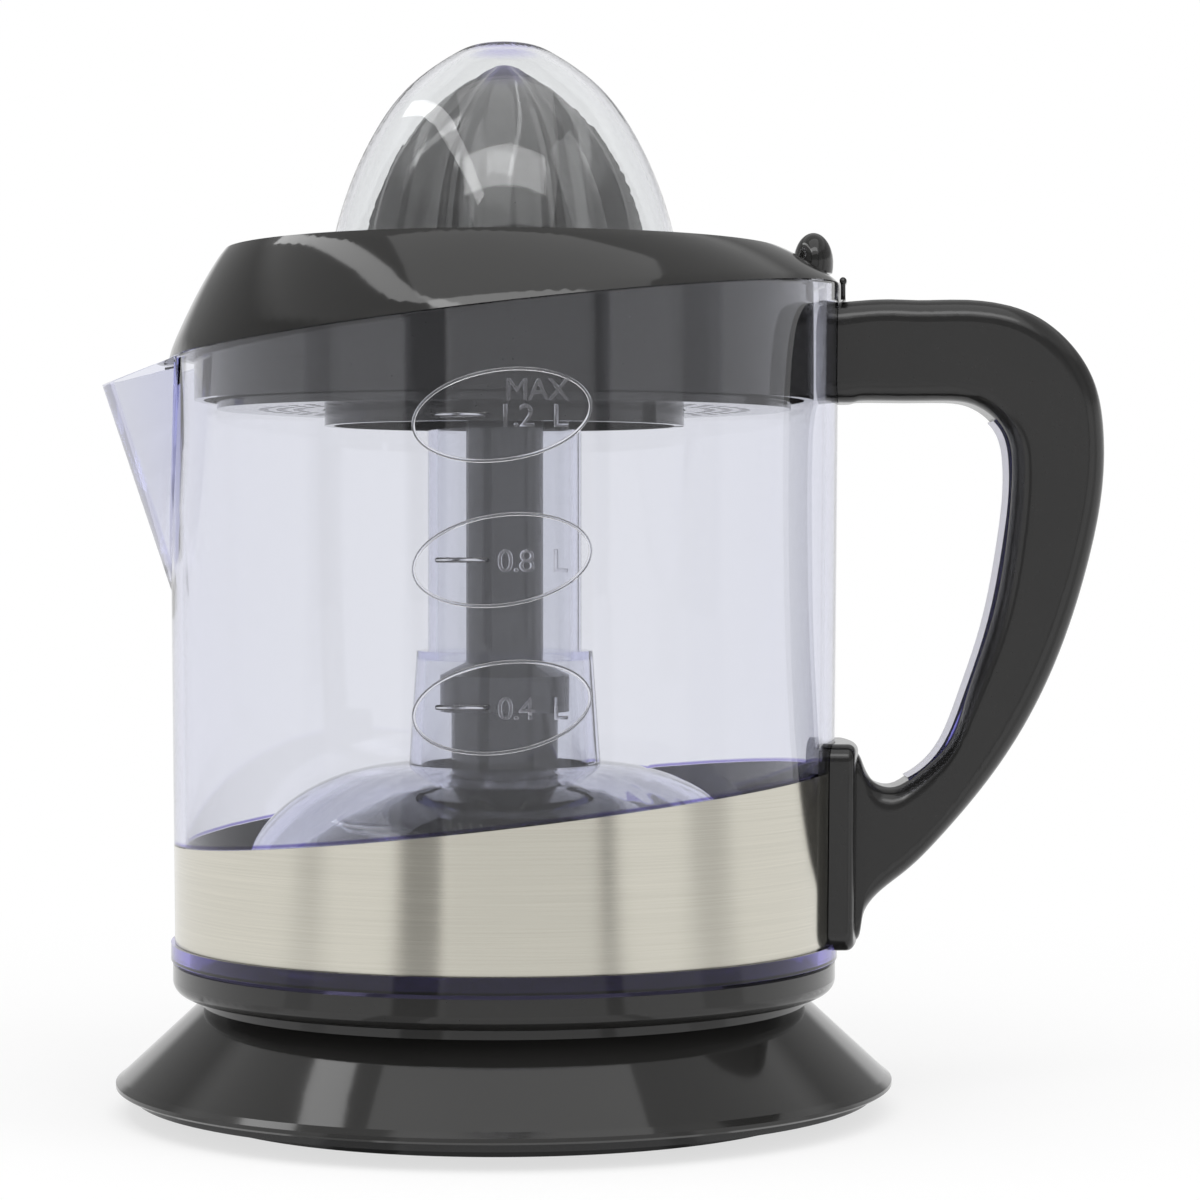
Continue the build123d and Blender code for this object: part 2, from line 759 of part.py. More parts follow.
def build_collar():
    outer = collar_solid(0)
    under = below_slope(rim_mid + fit_gap, slant) & rod(jar_radius_rim, disc_low - 5, collar_top)
    keep = outer + under
    collar = outer - collar_solid(collar_wall)
    collar += tube(skirt_radius - 2, skirt_radius, disc_top, collar_top + 5) & keep
    collar += tube(cup_radius, cup_radius + 2, disc_top, collar_top + 5) & keep
    collar -= rod(cup_radius, disc_low, collar_top + 5)
    tab = scale(Sphere(1), (tab_length / 2, tab_width / 2, tab_rise + 2.8))
    tab = Pos(jar_radius_rim - 1 - tab_length / 2, 0, collar_top - 2.8) * tab
    tab -= rod(cup_radius + 2, 0, collar_top + 20) + below_slope(rim_mid + 3, slant)
    return collar + tab


def build_filter_disc():
    disc = Circle(disc_radius) - Circle(hub_radius + fit_gap)
    radius = seat_flange_radius + 2.6
    while radius < cup_radius - 2:
        count = int(2 * pi * radius / hole_pitch)
        disc -= PolarLocations(radius, count) * Circle(hole_radius)
        radius += 3.7
    return Pos(0, 0, disc_low) * extrude(disc, disc_thickness)


def build_cone_seat():
    sleeve = column_radius + fit_gap + 0.15
    seat_ring = tube(sleeve, seat_flange_radius, web_low, web_top)
    seat_ring += tube(sleeve, sleeve + 2, disc_low - 2, sleeve_top)
    seat_ring += tube(hub_radius - 2, hub_radius, disc_low - hub_drop, web_low)
    seat_ring += tube(33.0, 34.6, web_top, web_top + 4.6)
    notch = block(20, hub_radius + 3, -2.5, 2.5, disc_low - hub_drop - 1, disc_low - 0.6)
    return seat_ring - notch


def build_thrust_washer():
    return tube(shaft_radius + 0.7, 18.4, washer_low, shoulder)


def ogive(height):
    """Radius of the reamer's ridges at a height."""
    low = reamer_tip - 45.6
    rise = reamer_tip - low
    bow = (reamer_radius**2 + rise**2) / (2 * reamer_radius)
    if height < low:
        return reamer_radius + 0.9 * (low - height) / (low - flute_low)
    return sqrt(bow**2 - (height - low) ** 2) - (bow - reamer_radius)


def reamer_section(height):
    """Star of narrow ridges with hollow flutes between them."""
    ridge = ogive(height)
    step = 2 * pi / reamer_ridges
    half = min(asin(min(1, ridge_width / 2 / ridge)), step * 0.2)
    fade = min(1, ridge / 12)
    valley = ridge * cos(step / 2 - half) * (1 - flute_depth * fade)
    edges = []

    def at(radius, angle):
        return (radius * cos(angle), radius * sin(angle))

    for k in range(reamer_ridges):
        middle = step / 2 - pi / 2 + k * step
        edges.append(ThreePointArc(at(ridge, middle - half), at(ridge, middle), at(ridge, middle + half)))
        edges.append(
            ThreePointArc(
                at(ridge, middle + half), at(valley, middle + step / 2), at(ridge, middle + step - half)
            )
        )
    return Pos(0, 0, height) * make_face(edges)


def build_reamer():
    heights = [flute_low + (reamer_tip - flute_low) * s for s in (0, 0.3, 0.52, 0.7, 0.84, 0.93, 0.985)]
    cone = loft([reamer_section(h) for h in heights])
    valley = ogive(flute_low) * cos(pi / reamer_ridges) * (1 - flute_depth)
    skirt = lathe(
        (0, skirt_low),
        (reamer_skirt_radius, skirt_low),
        (reamer_skirt_radius, skirt_low + 5.2),
        (ogive(flute_low) + 0.4, flute_low - 0.6),
        (ogive(flute_low) + 0.4, flute_low + 0.2),
        (valley, flute_low + 1.2),
        (0, flute_low + 1.2),
    )
    bore = reamer_skirt_radius - 1.4
    inner = valley - reamer_wall
    roof = reamer_tip - 14
    hollow = lathe(
        (reamer_hub_radius, skirt_low - 1),
        (bore, skirt_low - 1),
        (bore, skirt_low + 4.4),
        (inner, flute_low - 1.6),
        (inner * 0.96, reamer_tip - 40),
        (inner * 0.74, reamer_tip - 25),
        (reamer_hub_radius, roof - 6),
    )
    hollow += rod(reamer_hub_radius + 0.5, skirt_low - 1, shoulder)
    flat = RegularPolygon((drive_flat / 2 + 0.2) / cos(pi / 6), 6)
    socket = Pos(0, 0, shoulder - 1) * extrude(flat, drive_length + 2)
    return cone + skirt - hollow - socket


def build_dust_cover():
    centre = cover_top - cover_rise
    inner_radius, inner_rise = cover_radius - cover_wall, cover_rise - cover_wall
    lip = seat_flange_radius - 0.4

    def shoulder_curve(across, rise):
        angles = [radians(k * 14.8) for k in range(7)]
        return Spline(
            *[(across * cos(a), centre + rise * sin(a)) for a in angles],
            tangents=[(0, 1), (-across * sin(angles[-1]), rise * cos(angles[-1]))],
        )

    outside = shoulder_curve(cover_radius, cover_rise)
    inside = shoulder_curve(inner_radius, inner_rise)
    return lathe_curves(
        outside,
        Polyline(outside @ 1, (0, (outside @ 1).Y), (0, (inside @ 1).Y), inside @ 1),
        inside,
        Polyline(
            (inner_radius, centre),
            (inner_radius, cover_low),
            (lip, cover_low),
            (lip, cover_low + 1.6),
            (cover_radius, cover_low + 1.6),
            (cover_radius, centre),
        ),
    )


nodes = {
    "base_plate": build_base_plate,
    "rubber_feet": build_rubber_feet,
    "base_skirt": build_base_skirt,
    "cord_gland": build_cord_gland,
    "motor_housing": build_motor_housing,
    "base_screws": build_base_screws,
    "plate_screws": build_plate_screws,
    "gear_plate": build_gear_plate,
    "gear_cover": build_gear_cover,
    "gear_pin": build_gear_pin,
    "output_gear": build_output_gear,
    "second_gear": build_second_gear,
    "motor_pinion": build_motor_pinion,
    "motor_can": build_motor_can,
    "motor_lid": build_motor_lid,
    "coil_bobbin": build_coil_bobbin,
    "coil_winding": build_coil_winding,
    "stator_claws": build_stator_claws,
    "rotor_magnet": build_rotor_magnet,
    "rotor_hub": build_rotor_hub,
    "rotor_shaft": build_rotor_shaft,
    "spindle": build_spindle,
    "spindle_clip": build_spindle_clip,
    "spring_collar": build_spring_collar,
    "return_spring": build_return_spring,
    "spindle_bush": build_spindle_bush,
    "shaft_seal": build_shaft_seal,
    "start_switch": build_start_switch,
    "switch_plunger": build_switch_plunger,
    "drive_shaft": build_drive_shaft,
    "jar": build_jar,
    "steel_band": build_steel_band,
    "handle": build_handle,
    "handle_spine": build_handle_spine,
    "collar": build_collar,
    "filter_disc": build_filter_disc,
    "cone_seat": build_cone_seat,
    "thrust_washer": build_thrust_washer,
    "reamer": build_reamer,
    "dust_cover": build_dust_cover,
}

os.makedirs("parts", exist_ok=True)
for name, build in nodes.items():
    export_step(build(), f"parts/{name}.step")
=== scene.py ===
import json
from math import cos, pi, radians, sin

import bmesh
import bpy
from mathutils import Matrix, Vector


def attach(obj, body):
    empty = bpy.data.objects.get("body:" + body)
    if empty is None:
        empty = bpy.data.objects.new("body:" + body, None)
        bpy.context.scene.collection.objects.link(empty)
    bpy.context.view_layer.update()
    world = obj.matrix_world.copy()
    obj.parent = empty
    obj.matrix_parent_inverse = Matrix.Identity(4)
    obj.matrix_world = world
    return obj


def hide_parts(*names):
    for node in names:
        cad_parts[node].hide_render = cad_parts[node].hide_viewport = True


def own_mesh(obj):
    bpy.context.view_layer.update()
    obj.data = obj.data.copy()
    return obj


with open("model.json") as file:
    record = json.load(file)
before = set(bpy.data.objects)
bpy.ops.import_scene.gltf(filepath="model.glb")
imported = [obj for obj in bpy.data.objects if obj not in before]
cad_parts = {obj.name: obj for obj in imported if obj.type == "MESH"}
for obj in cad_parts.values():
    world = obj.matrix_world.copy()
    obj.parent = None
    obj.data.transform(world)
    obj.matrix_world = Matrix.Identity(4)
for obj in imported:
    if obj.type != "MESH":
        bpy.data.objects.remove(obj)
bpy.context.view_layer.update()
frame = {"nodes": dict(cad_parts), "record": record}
nodes = frame["nodes"]
print("frame:", len(nodes), "pieces from the drawing")

scene = bpy.context.scene
scene.view_settings.view_transform = "Standard"


class Wire:  # one socket of a material; the operators add Math nodes
    def __init__(self, board, socket):
        self.board = board
        self.socket = socket

    def maths(self, operation, *others):
        return self.board.node("ShaderNodeMath", {"operation": operation}, dict(enumerate((self,) + others)))

    def __add__(self, other):
        return self.maths("ADD", other)

    def __sub__(self, other):
        return self.maths("SUBTRACT", other)

    def __rsub__(self, other):
        return self.board.node("ShaderNodeMath", {"operation": "SUBTRACT"}, {0: other, 1: self})

    def __mul__(self, other):
        return self.maths("MULTIPLY", other)

    __radd__ = __add__
    __rmul__ = __mul__

    def held(self, low, high):  # kept between two values
        return self.maths("MAXIMUM", low).maths("MINIMUM", high)


class Board:  # the node tree of one material or of the world
    def __init__(self, owner, output="ShaderNodeOutputMaterial"):
        owner.use_nodes = True
        self.owner = owner
        self.tree = owner.node_tree
        self.tree.nodes.clear()
        self.output = self.tree.nodes.new(output)

    def node(self, kind, settings=None, sockets=None, pick=0):
        made = self.tree.nodes.new(kind)
        for key, value in (settings or {}).items():
            setattr(made, key, value)
        for key, value in (sockets or {}).items():
            if isinstance(value, Wire):
                self.tree.links.new(value.socket, made.inputs[key])
            else:
                made.inputs[key].default_value = value
        return Wire(self, made.outputs[pick])

    def place(self):  # metres, fixed to the piece
        return self.node("ShaderNodeTexCoord", pick="Object")

    def axes(self, vector=None):  # the three parts of a vector, or of the place on the piece
        vector = vector or self.place()
        return [self.node("ShaderNodeSeparateXYZ", {}, {0: vector}, pick=k) for k in range(3)]

    def ray(self, kind):  # what sort of light path asks
        return self.node("ShaderNodeLightPath", pick=kind)

    def stretched(self, scales):
        return self.node("ShaderNodeVectorMath", {"operation": "MULTIPLY"}, {0: self.place(), 1: scales})

    def noise(self, scale, detail=2.0, vector=None):
        vector = vector or self.place()
        return self.node("ShaderNodeTexNoise", {}, {"Vector": vector, "Scale": scale, "Detail": detail})

    def ramp(self, value, low, high):  # 0 below low, 1 above high
        sockets = {0: value, 1: low, 2: high, 3: 0.0, 4: 1.0}
        return self.node("ShaderNodeMapRange", {"interpolation_type": "SMOOTHSTEP"}, sockets)

    def tint(self, share, first, second):
        return self.node("ShaderNodeMix", {"data_type": "RGBA"}, {0: share, 6: first, 7: second}, pick=2)

    def bump(self, height, strength, distance):
        return self.node("ShaderNodeBump", {}, {"Strength": strength, "Distance": distance, "Height": height})

    def surface(self, sockets):
        return self.node("ShaderNodeBsdfPrincipled", {}, sockets)

    def done(self, surface, volume=None):
        self.tree.links.new(surface.socket, self.output.inputs["Surface"])
        if volume:
            self.tree.links.new(volume.socket, self.output.inputs["Volume"])
        return self.owner


def shade(colour, share):
    return tuple(min(1.0, c * share) for c in colour[:3]) + (1.0,)


def glossPlastic(name, look):  # moulded plastic: slight orange peel, faint clouding, dust in the gloss
    board = Board(bpy.data.materials.new(name))
    cloudScale, dustScale, peelHeight = 55.0, 1500.0, 0.0004
    dustTone = (0.30, 0.30, 0.30, 1.0)
    cloud = board.noise(cloudScale, 3.0)
    peel = board.noise(look["peelScale"], 2.0)
    dust = board.ramp(board.noise(dustScale, 1.0), 0.70, 0.82)
    tone = board.tint(cloud, shade(look["tone"], 0.86), shade(look["tone"], 1.14))
    tone = board.tint(dust * look["dust"], tone, dustTone)
    rough = look["rough"] + (cloud - 0.5) * 0.03 + dust * 0.05
    return board.done(
        board.surface(
            {
                "Base Color": tone,
                "Roughness": rough.held(0.04, 1.0),
                "IOR": look["bend"],
                "Coat Weight": look["coat"],
                "Coat Roughness": 0.06,
                "Normal": board.bump(peel, look["peel"], peelHeight),
            }
        )
    )


def thickPlaces(board, layers):  # 1 where the clear moulding is thick enough to look violet
    x, y, z = board.axes()
    reach = (x * x + y * y).maths("SQRT")
    fade = 0.001
    mask = 0.0
    for low, high, slope, beyond, soft in layers:  # low and high at the axis, slope towards the handle
        rise = z - x * slope
        layer = board.ramp(rise, low - soft, low + soft) * (1 - board.ramp(rise, high - soft, high + soft))
        mask = layer * board.ramp(reach, beyond - fade, beyond) + mask
    return mask.held(0.0, 1.0)


def thinRidge(board, foot, height, lean, core, half, soft):  # 1 along the spout's thin ridge
    x, z = board.axes()[::2]
    away = (x - (z - height) * lean - foot).maths("ABSOLUTE")
    return (1 - board.ramp(away, core, half)) * board.ramp(z, height - soft, height + soft)


def clearPlastic(name, look):  # clear moulding: flow lines, a tint that gathers in the edges
    board = Board(bpy.data.materials.new(name))
    tone = look["tone"]
    if look["layers"]:
        tone = board.tint(thickPlaces(board, look["layers"]), tone, look["deep"])
    flowScales, flowHeight, hazeScale = (90.0, 90.0, 14.0), 0.0004, 34.0
    flow = board.noise(1.0, 2.0, board.stretched(flowScales))
    haze = board.ramp(board.noise(hazeScale, 3.0), 0.45, 0.85)
    rough = look["rough"] + haze * look["haze"]
    surface = board.surface(
        {
            "Base Color": tone,
            "Roughness": rough.held(0.0, 1.0),
            "IOR": look["bend"],
            "Transmission Weight": 1.0,
            "Normal": board.bump(flow, look["flow"], flowHeight),
        }
    )
    if look["ridge"]:
        plain = board.node("ShaderNodeBsdfTransparent", {}, {"Color": look["plain"]})
        share = thinRidge(board, **look["ridge"]) * look["through"]
        surface = board.node("ShaderNodeMixShader", {}, {0: share, 1: surface, 2: plain})
    depth = {"Color": look["depth"], "Density": look["density"]}
    return board.done(surface, board.node("ShaderNodeVolumeAbsorption", {}, depth))


def brushedMetal(name, look):  # fine lines round the axis, broader bands of polish under them
    board = Board(bpy.data.materials.new(name))
    lines = board.noise(1.0, 3.0, board.stretched(look["lines"]))
    bands = board.noise(1.0, 2.0, board.stretched(look["bands"]))
    cloudScale, lineHeight = 26.0, 0.0002
    cloud = board.noise(cloudScale, 2.0)
    tone = board.tint(lines, shade(look["tone"], 0.84), shade(look["tone"], 1.10))
    tone = board.tint(bands * 0.5, tone, shade(look["tone"], 0.92))
    if look["inside"]:  # painted shade: the face towards the axis is darkened to near black
        facing = board.node(
            "ShaderNodeVectorMath",
            {"operation": "DOT_PRODUCT"},
            {0: board.place(), 1: board.node("ShaderNodeTexCoord", pick="Normal")},
            pick="Value",
        )
        tone = board.tint(board.ramp(facing, -0.01, 0.01), look["inside"], tone)
    rough = look["rough"] + (lines - 0.5) * 0.06 + (bands - 0.5) * 0.04 + (cloud - 0.5) * 0.03
    return board.done(
        board.surface(
            {
                "Base Color": tone,
                "Metallic": 1.0,
                "Roughness": rough.held(0.08, 0.9),
                "Anisotropic": look["stretch"],
                "Anisotropic Rotation": 0.25,  # gloss runs across the lines
                "Normal": board.bump(lines, look["depth"], lineHeight),
            }
        )
    )


def grainMetal(name, look):  # plated or turned metal that is mostly out of sight
    board = Board(bpy.data.materials.new(name))
    spotScale, grainHeight = look["scale"] * 0.22, 0.0002
    grain = board.noise(look["scale"], 4.0)
    spots = board.ramp(board.noise(spotScale, 3.0), 0.5, 0.75)
    tone = board.tint(grain, shade(look["tone"], 0.82), shade(look["tone"], 1.12))
    tone = board.tint(spots * look["spots"], tone, shade(look["tone"], 0.55))
    rough = look["rough"] + (grain - 0.5) * 0.2 + spots * 0.12
    return board.done(
        board.surface(
            {
                "Base Color": tone,
                "Metallic": look["metal"],
                "Roughness": rough.held(0.08, 0.95),
                "Normal": board.bump(grain, 0.15, grainHeight),
            }
        )
    )


def mattMoulding(name, look):  # rubber and filled plastics: fine grain, chalky wear
    board = Board(bpy.data.materials.new(name))
    wearScale, grainHeight = look["scale"] * 0.06, 0.0003
    grain = board.noise(look["scale"], 4.0)
    wear = board.ramp(board.noise(wearScale, 4.0), 0.45, 0.75)
    tone = board.tint(grain, shade(look["tone"], 0.8), shade(look["tone"], 1.2))
    tone = board.tint(wear * look["wear"], tone, shade(look["tone"], 1.9))
    rough = look["rough"] + (grain - 0.5) * 0.3 * look["rough"] - wear * 0.1 * look["rough"]
    return board.done(
        board.surface(
            {
                "Base Color": tone,
                "Roughness": rough.held(0.06, 1.0),
                "Normal": board.bump(grain, look["grain"], grainHeight),
            }
        )
    )


finishes = {
    "charcoalGloss": (
        glossPlastic,
        {
            "tone": (0.0145, 0.0142, 0.0136), "rough": 0.07, "coat": 0.1, "bend": 1.5,
            "peel": 0.006, "peelScale": 300.0, "dust": 0.012,
        },
    ),
    "handleGloss": (
        glossPlastic,
        {
            "tone": (0.0145, 0.0142, 0.0140), "rough": 0.17, "coat": 0.1, "bend": 1.5,
            "peel": 0.006, "peelScale": 300.0, "dust": 0.012,
        },
    ),
    "reamerCharcoal": (
        glossPlastic,
        {
            "tone": (0.022, 0.0215, 0.021), "rough": 0.10, "coat": 0.2, "bend": 1.65,
            "peel": 0.008, "peelScale": 360.0, "dust": 0.015,
        },
    ),
    "strainerCharcoal": (
        glossPlastic,
        {
            "tone": (0.018, 0.018, 0.018), "rough": 0.12, "coat": 0.1, "bend": 1.6,
            "peel": 0.008, "peelScale": 360.0, "dust": 0.015,
        },
    ),
    "shaftGrey": (
        glossPlastic,
        {
            "tone": (0.062, 0.060, 0.064), "rough": 0.20, "coat": 0.0, "bend": 1.5,
            "peel": 0.012, "peelScale": 400.0, "dust": 0.02,
        },
    ),
    "baseSatin": (
        mattMoulding,
        {"tone": (0.016, 0.016, 0.0165), "rough": 0.13, "scale": 1400.0, "grain": 0.02, "wear": 0.2},
    ),
    "footRubber": (
        mattMoulding,
        {"tone": (0.030, 0.030, 0.031), "rough": 0.78, "scale": 1800.0, "grain": 0.25, "wear": 0.35},
    ),
    "switchBlack": (
        mattMoulding,
        {"tone": (0.020, 0.020, 0.021), "rough": 0.55, "scale": 1500.0, "grain": 0.1, "wear": 0.15},
    ),
    "gearNylon": (
        mattMoulding,
        {"tone": (0.70, 0.68, 0.60), "rough": 0.45, "scale": 900.0, "grain": 0.08, "wear": 0.1},
    ),
    "bobbinWhite": (
        mattMoulding,
        {"tone": (0.72, 0.71, 0.68), "rough": 0.5, "scale": 1000.0, "grain": 0.08, "wear": 0.1},
    ),
    "jarClear": (
        clearPlastic,
        {
            "tone": (0.925, 0.930, 0.918, 1.0),
            "deep": (0.30, 0.26, 0.60, 1.0),
            "layers": (  # foot ring, edge over the band
                (0.0320, 0.0361, 0.0, 0.060, 0.0002),
                (0.0650, 0.0656, 0.1139, 0.066, 0.0002),
            ),
            "ridge": {  # along the edge of the spout
                "foot": -0.0724, "height": 0.1152, "lean": -0.3343,
                "core": 0.0018, "half": 0.0030, "soft": 0.002,
            },
            "plain": (0.97, 0.97, 0.98, 1.0),
            "through": 0.75,
            "rough": 0.006,
            "haze": 0.014,
            "bend": 1.49,
            "flow": 0.008,
            "depth": (0.25, 0.28, 0.82, 1.0),
            "density": 40.0,
        },
    ),
    "coverClear": (
        clearPlastic,
        {
            "tone": (0.932, 0.941, 0.932, 1.0),
            "deep": (0.30, 0.26, 0.76, 1.0),
            "layers": ((0.2273, 0.2400, 0.0, 0.0, 0.0009),),  # the crown
            "ridge": None,
            "rough": 0.004,
            "haze": 0.010,
            "bend": 1.49,
            "flow": 0.005,
            "depth": (0.36, 0.38, 0.80, 1.0),
            "density": 18.0,
        },
    ),
    "frostedMark": (
        clearPlastic,
        {
            "tone": (0.95, 0.95, 0.96, 1.0),
            "layers": (),
            "ridge": None,
            "rough": 0.16,
            "haze": 0.06,
            "bend": 1.49,
            "flow": 0.02,
            "depth": (0.25, 0.28, 0.82, 1.0),
            "density": 40.0,
        },
    ),
    "gripStrip": (
        clearPlastic,
        {
            "tone": (0.80, 0.79, 0.92, 1.0),
            "layers": (),
            "ridge": None,
            "rough": 0.02,
            "haze": 0.02,
            "bend": 1.49,
            "flow": 0.01,
            "depth": (0.20, 0.18, 0.72, 1.0),
            "density": 160.0,
        },
    ),
    "brushedBand": (
        brushedMetal,
        {
            "tone": (0.73, 0.705, 0.62),
            # painted shade: near-black colour for the face towards the axis
            "inside": (0.055, 0.052, 0.066, 1.0),
            "rough": 0.19,
            "lines": (26.0, 26.0, 5200.0),
            "bands": (7.0, 7.0, 620.0),
            "depth": 0.03,
            "stretch": 0.95,
        },
    ),
    "turnedSteel": (
        brushedMetal,
        {
            "tone": (0.55, 0.55, 0.54),
            "inside": None,
            "rough": 0.28,
            "lines": (300.0, 300.0, 4200.0),
            "bands": (60.0, 60.0, 700.0),
            "depth": 0.1,
            "stretch": 0.3,
        },
    ),
    "zincPlate": (
        grainMetal,
        {"tone": (0.56, 0.57, 0.58), "rough": 0.42, "scale": 420.0, "spots": 0.35, "metal": 1.0},
    ),
    "pinionBrass": (
        grainMetal,
        {"tone": (0.68, 0.48, 0.20), "rough": 0.32, "scale": 800.0, "spots": 0.3, "metal": 1.0},
    ),
    "copperWire": (
        brushedMetal,
        {
            "tone": (0.70, 0.34, 0.18),
            "inside": None,
            "rough": 0.30,
            "lines": (40.0, 40.0, 3600.0),
            "bands": (30.0, 30.0, 900.0),
            "depth": 0.3,
            "stretch": 0.2,
        },
    ),
    "ferrite": (
        grainMetal,
        {"tone": (0.05, 0.048, 0.047), "rough": 0.55, "scale": 1600.0, "spots": 0.3, "metal": 0.3},
    ),
}
materials = {name: make(name, look) for name, (make, look) in finishes.items()}

finishOfSlot = {
    "charcoal_gloss": "charcoalGloss",
    "reamer_charcoal": "reamerCharcoal",
    "strainer_charcoal": "strainerCharcoal",
    "shaft_grey": "shaftGrey",
    "jar_clear": "jarClear",
    "cover_clear": "coverClear",
    "brushed_band": "brushedBand",
    "base_satin": "baseSatin",
    "foot_rubber": "footRubber",
    "steel": "turnedSteel",
    "zinc_plate": "zincPlate",
    "gear_nylon": "gearNylon",
    "pinion_brass": "pinionBrass",
    "copper_wire": "copperWire",
    "ferrite": "ferrite",
    "bobbin_white": "bobbinWhite",
    "switch_black": "switchBlack",
}
for part in frame["record"]["subparts"]:
    piece = nodes[part["node"]]
    piece.data.materials.clear()
    piece.data.materials.append(materials[finishOfSlot[part["material_slot"]]])
nodes["handle"].data.materials[0] = materials["handleGloss"]
nodes["handle_spine"].data.materials[0] = materials["gripStrip"]
print("finishes:", len(materials), "materials on", len(nodes), "pieces")


def pieceFrom(mesh, name, body, finish):
    piece = bpy.data.objects.new(name, mesh)
    scene.collection.objects.link(piece)
    mesh.materials.clear()
    mesh.materials.append(materials[finish])
    for face in mesh.polygons:
        face.use_smooth = True
    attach(piece, body)
    return piece


def skinInto(form, rows, capped=True):  # faces between rows of points, and over both ends
    sides = len(rows[0])
    for a, b in zip(rows, rows[1:]):
        for k in range(sides):
            form.faces.new((a[k], b[k], b[(k + 1) % sides], a[(k + 1) % sides]))
    if capped:
        form.faces.new(rows[0])
        form.faces.new(tuple(reversed(rows[-1])))


def meshFrom(form, name):  # all faces outwards
    bmesh.ops.recalc_face_normals(form, faces=form.faces)
    mesh = bpy.data.meshes.new(name)
    form.to_mesh(mesh)
    form.free()
    return mesh


jarSides = {"foot": (0.0325, 0.0705), "rim": (0.1678, 0.0716)}  # height and outside radius


def jarWall(height):  # outside radius of the jar
    (low, narrow), (high, wide) = jarSides["foot"], jarSides["rim"]
    return narrow + (wide - narrow) * (height - low) / (high - low)


# Raised fill marks on the front of the jar
fillMarks = {
    "turn": 1.1,  # degrees from straight ahead, towards the handle
    "off": 0.00002,  # clear of the wall
    "ring": (0.01793, 0.0091),  # half length and half height of the ovals
    "tilt": 8.0,
    "ringWidth": 0.0007,
    "ringHeight": 0.00030,
    "dash": (-0.0131, -0.0024, 0.0010, 0.0004),  # from, to, thickness and height
    "number": (-0.0009, -0.0023, 0.0063),  # left, low and size
    "unit": (0.0098, -0.0023, 0.0063),
    "topWord": (0.0006, 0.0029, 0.0060),
    "letters": {  # the bevel brings the strokes back to weight
        "offset": -0.00004, "extrude": 0.00028, "bevel_depth": 0.0001,
        "space_character": 0.94, "bevel_resolution": 2, "resolution_u": 6,
    },
    "lift": 0.00037,  # from the middle of the letters to the wall
    "weld": 0.000002,
    "marks": ((0.0889, "0.4"), (0.1177, "0.8"), (0.1460, "1.2")),
}


def wrapped(mesh, height):  # from flat (along, up, out) to the jar's wall
    for point in mesh.vertices:
        along, up, out = point.co
        radius = jarWall(height + up)
        angle = radians(-90 + fillMarks["turn"]) + along / radius
        radius += fillMarks["off"] + max(out, 0.0)
        point.co = (radius * cos(angle), radius * sin(angle), height + up)
    mesh.update()


def wordMesh(words, left, low, size):
    curve = bpy.data.curves.new("word", "FONT")
    curve.body = words
    curve.size = size
    for key, value in fillMarks["letters"].items():
        setattr(curve, key, value)
    word = bpy.data.objects.new("word", curve)
    scene.collection.objects.link(word)
    bpy.context.view_layer.update()
    mesh = bpy.data.meshes.new_from_object(word.evaluated_get(bpy.context.evaluated_depsgraph_get()))
    bpy.data.objects.remove(word)
    for point in mesh.vertices:
        point.co += Vector((left, low, fillMarks["lift"]))
    return mesh


def ringInto(form, halfLong, halfHigh, tilt, width, height):  # rounded bead along a tilted oval
    count, around = 144, 8
    rows = []
    for step in range(count):
        angle = 2 * pi * step / count
        middle = Vector((halfLong * cos(angle), halfHigh * sin(angle)))
        outward = Vector((halfHigh * cos(angle), halfLong * sin(angle))).normalized()
        row = []
        for k in range(around):
            turn = 2 * pi * k / around
            flat = middle + outward * (width / 2 * cos(turn) - width / 2)
            x = flat.x * cos(tilt) - flat.y * sin(tilt)
            y = flat.x * sin(tilt) + flat.y * cos(tilt)
            row.append(form.verts.new((x, y, height / 2 + height / 2 * sin(turn))))
        rows.append(row)
    skinInto(form, rows + rows[:1], capped=False)


def dashInto(form, start, end, thick, height):  # bar with round ends and a soft top
    half, steps = thick / 2, 8
    outline = []
    for centre, first in ((start + half, pi / 2), (end - half, -pi / 2)):
        for step in range(steps + 1):
            angle = first + pi * step / steps
            outline.append((centre + half * cos(angle), half * sin(angle)))
    middle = (start + end) / 2
    shares = ((0.0, 1.0, 1.0), (0.7, 1.0, 1.0), (1.0, 0.982, 0.88))  # of the height, length and thickness
    levels = []
    for up, along, across in shares:
        points = [((x - middle) * along + middle, y * across, up * height) for x, y in outline]
        levels.append([form.verts.new(point) for point in points])
    skinInto(form, levels, capped=False)
    form.faces.new(levels[-1])
    form.faces.new(tuple(reversed(levels[0])))


def buildFillMarks():
    for height, number in fillMarks["marks"]:
        form = bmesh.new()
        tilt = radians(fillMarks["tilt"])
        ringInto(form, *fillMarks["ring"], tilt, fillMarks["ringWidth"], fillMarks["ringHeight"])
        dashInto(form, *fillMarks["dash"])
        words = [(number, *fillMarks["number"]), ("L", *fillMarks["unit"])]
        if number == fillMarks["marks"][-1][1]:
            words.append(("MAX", *fillMarks["topWord"]))
        for word in words:
            form.from_mesh(wordMesh(*word))
        bmesh.ops.remove_doubles(form, verts=form.verts, dist=fillMarks["weld"])
        mesh = meshFrom(form, "fillMark")
        wrapped(mesh, height)
        pieceFrom(mesh, "fill_mark_" + number.replace(".", "_"), "jar", "frostedMark")


buildFillMarks()
print("fill marks:", len(fillMarks["marks"]))

# Hook of the handle over the jar's rim
rimHook = {
    "radius": 0.0722,
    "thick": 0.0009,
    "low": 0.1726,
    "high": 0.1766,
    "halfAngle": 7.5,
    "bead": 0.00075,
    "beadSteps": 8,
    "overturn": 0.5,  # the bead goes past half a turn on either side
    "steps": 24,
}


